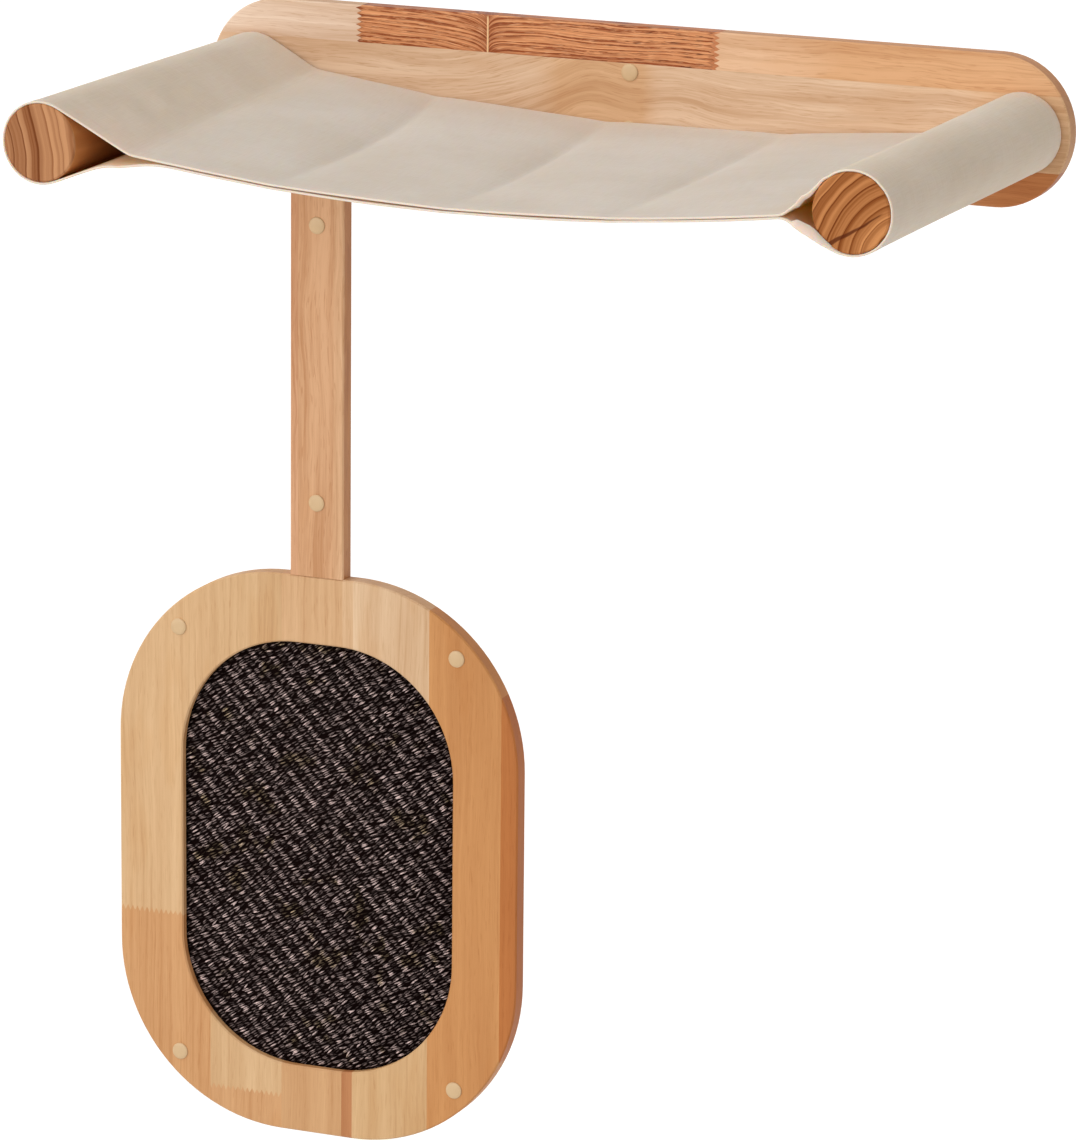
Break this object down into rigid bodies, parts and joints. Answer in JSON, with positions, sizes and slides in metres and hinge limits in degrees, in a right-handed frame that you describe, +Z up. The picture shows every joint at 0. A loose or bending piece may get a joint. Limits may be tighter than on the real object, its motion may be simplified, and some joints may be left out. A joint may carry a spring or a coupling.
{
  "type": "wall mounted cat tree",
  "caption": "Wall hammock for a cat: pill-ended backboard, round support rods, sagging canvas sling, flat post and a rounded wooden frame round a woven scratching mat.",
  "frame": {"origin": "on the back face of the backboard, midway between the two support rods", "axes": "+Y into the wall, +X to the right along the backboard, +Z up"},
  "size_m": [0.6825, 0.3635, 0.795],
  "materials": {
    "rubberwood": "clear satin lacquer on finger-jointed rubberwood",
    "rod_wood": "turned rubberwood, end grain at the front",
    "plywood": "raw plywood",
    "canvas": "plain weave cotton canvas, greige",
    "woven_mat": "coarse black weave with pale flecks",
    "cap_plastic": "cream push-in cap",
    "screw_steel": "zinc plated",
    "insert_zinc": "zinc alloy"
  },
  "bodies": {
    "wall_frame": {"backboard": "rubberwood", "left_dowel": "rod_wood", "right_dowel": "rod_wood", "dowel_bolts": "screw_steel", "dowel_insert_nuts": "insert_zinc", "post": "rubberwood", "scratcher_frame": "rubberwood", "scratch_mat": "woven_mat", "mat_backing_board": "plywood", "backboard_wall_screws": "screw_steel", "post_wall_screws": "screw_steel", "frame_wall_screws": "screw_steel", "backboard_screw_caps": "cap_plastic", "post_screw_caps": "cap_plastic", "frame_screw_caps": "cap_plastic"},
    "sling": {"left_sleeve": "canvas", "right_sleeve": "canvas", "sling_upper_layer": "canvas", "sling_lower_layer": "canvas"}
  },
  "joints": [
    {"name": "sling_slide", "type": "slide", "parent": "wall_frame", "child": "sling", "axis": [0, -1, 0], "range_m": [0, 0.311]}
  ]
}
